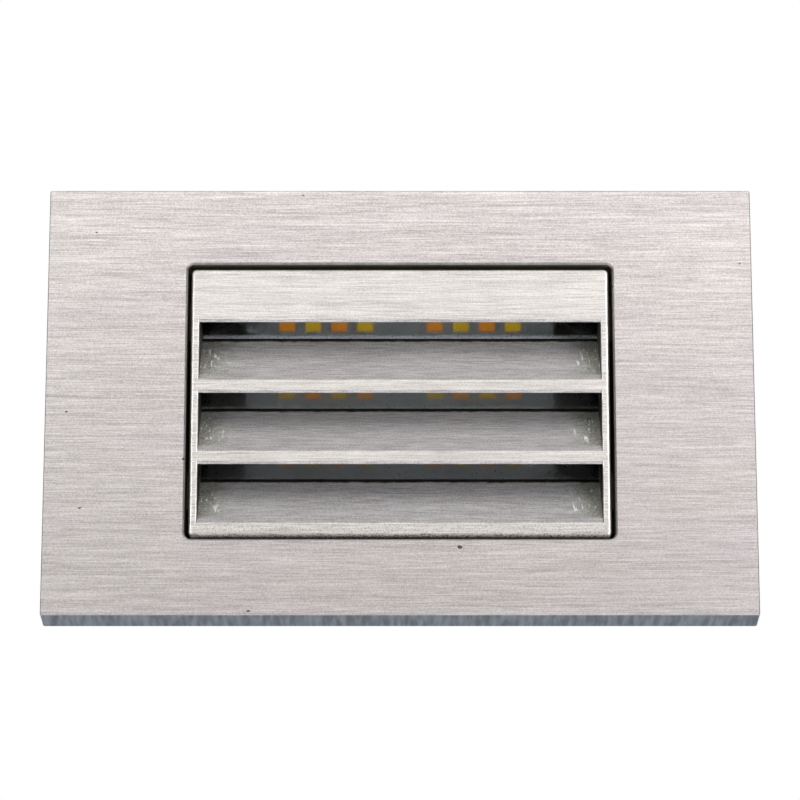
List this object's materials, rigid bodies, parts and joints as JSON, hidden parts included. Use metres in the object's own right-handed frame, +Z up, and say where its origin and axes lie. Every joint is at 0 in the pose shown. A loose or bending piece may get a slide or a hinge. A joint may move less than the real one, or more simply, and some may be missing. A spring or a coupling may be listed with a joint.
{
  "type": "step light",
  "caption": "Recessed wall step light: brushed faceplate round a louvred die-cast grille, frosted lens and LED board, with a driver housing behind.",
  "frame": {"origin": "middle of the strap's two box slots, in the wall's surface (the strap's back face)", "axes": "+X to the right as seen from the front, +Y into the wall, +Z up; the light faces -Y"},
  "size_m": [0.12, 0.0403, 0.0754],
  "materials": {
    "nickel_plate": "fine horizontal brushing, satin nickel",
    "nickel_casting": "brushed face over a die-cast body, satin nickel",
    "magnet": "bright nickel plating",
    "strap_steel": "zinc-plated stamped steel",
    "screw_steel": "zinc-plated",
    "green_screw": "green-dyed zinc plating",
    "foam": "closed-cell foam",
    "frosted_lens": "lightly frosted polycarbonate",
    "silicone": "translucent grey silicone",
    "thermal_silicone": "soft thermal pad",
    "white_board": "white solder mask",
    "green_board": "green solder mask",
    "warm_phosphor": "orange phosphor in clear silicone",
    "cool_phosphor": "yellow phosphor in clear silicone",
    "black_casting": "black powder coat on die-cast aluminium",
    "cover_plastic": "fine-grained moulded nylon",
    "grommet_rubber": "moulded rubber",
    "ferrite": "sintered ferrite",
    "winding_tape": "yellow polyester tape over the winding",
    "black_sleeve": "shrunk plastic sleeve",
    "film_epoxy": "dipped epoxy",
    "blue_epoxy": "dipped epoxy",
    "chip_epoxy": "moulded epoxy",
    "fuse_ceramic": "glazed ceramic",
    "terminal_plastic": "moulded nylon",
    "switch_steel": "tinned sheet steel",
    "pin_brass": "tinned brass",
    "slider_plastic": "white moulded nylon"
  },
  "bodies": {
    "light_body": {"mounting_strap": "strap_steel", "ground_screw": "green_screw", "wall_gasket": "foam", "louvre_grille": "nickel_casting", "grille_screws": "screw_steel", "lens": "frosted_lens", "lens_seal": "silicone", "led_board": "white_board", "leds_warm": "warm_phosphor", "leds_cool": "cool_phosphor", "led_board_screws": "screw_steel", "thermal_pad": "thermal_silicone", "housing": "black_casting", "body_screws": "screw_steel", "driver_board": "green_board", "driver_screws": "screw_steel", "transformer_core": "ferrite", "transformer_winding": "winding_tape", "electrolytic_capacitors": "black_sleeve", "film_capacitor": "film_epoxy", "inductor": "black_sleeve", "rectifier": "chip_epoxy", "controller": "chip_epoxy", "fuse": "fuse_ceramic", "varistor": "blue_epoxy", "wire_terminals": "terminal_plastic", "led_header": "chip_epoxy", "switch_case": "switch_steel", "switch_pins": "pin_brass", "cover_seal": "silicone", "rear_cover": "cover_plastic", "inlet_grommet": "grommet_rubber"},
    "faceplate": {"faceplate": "nickel_plate", "faceplate_magnets": "magnet"},
    "switch_slider": {"switch_slider": "slider_plastic"}
  },
  "joints": [
    {"name": "faceplate_pull", "type": "slide", "parent": "light_body", "child": "faceplate", "axis": [0, -1, 0], "range_m": [0, 0.015]},
    {"name": "colour_switch", "type": "slide", "parent": "light_body", "child": "switch_slider", "axis": [1, 0, 0], "range_m": [-0.002, 0.002]}
  ]
}
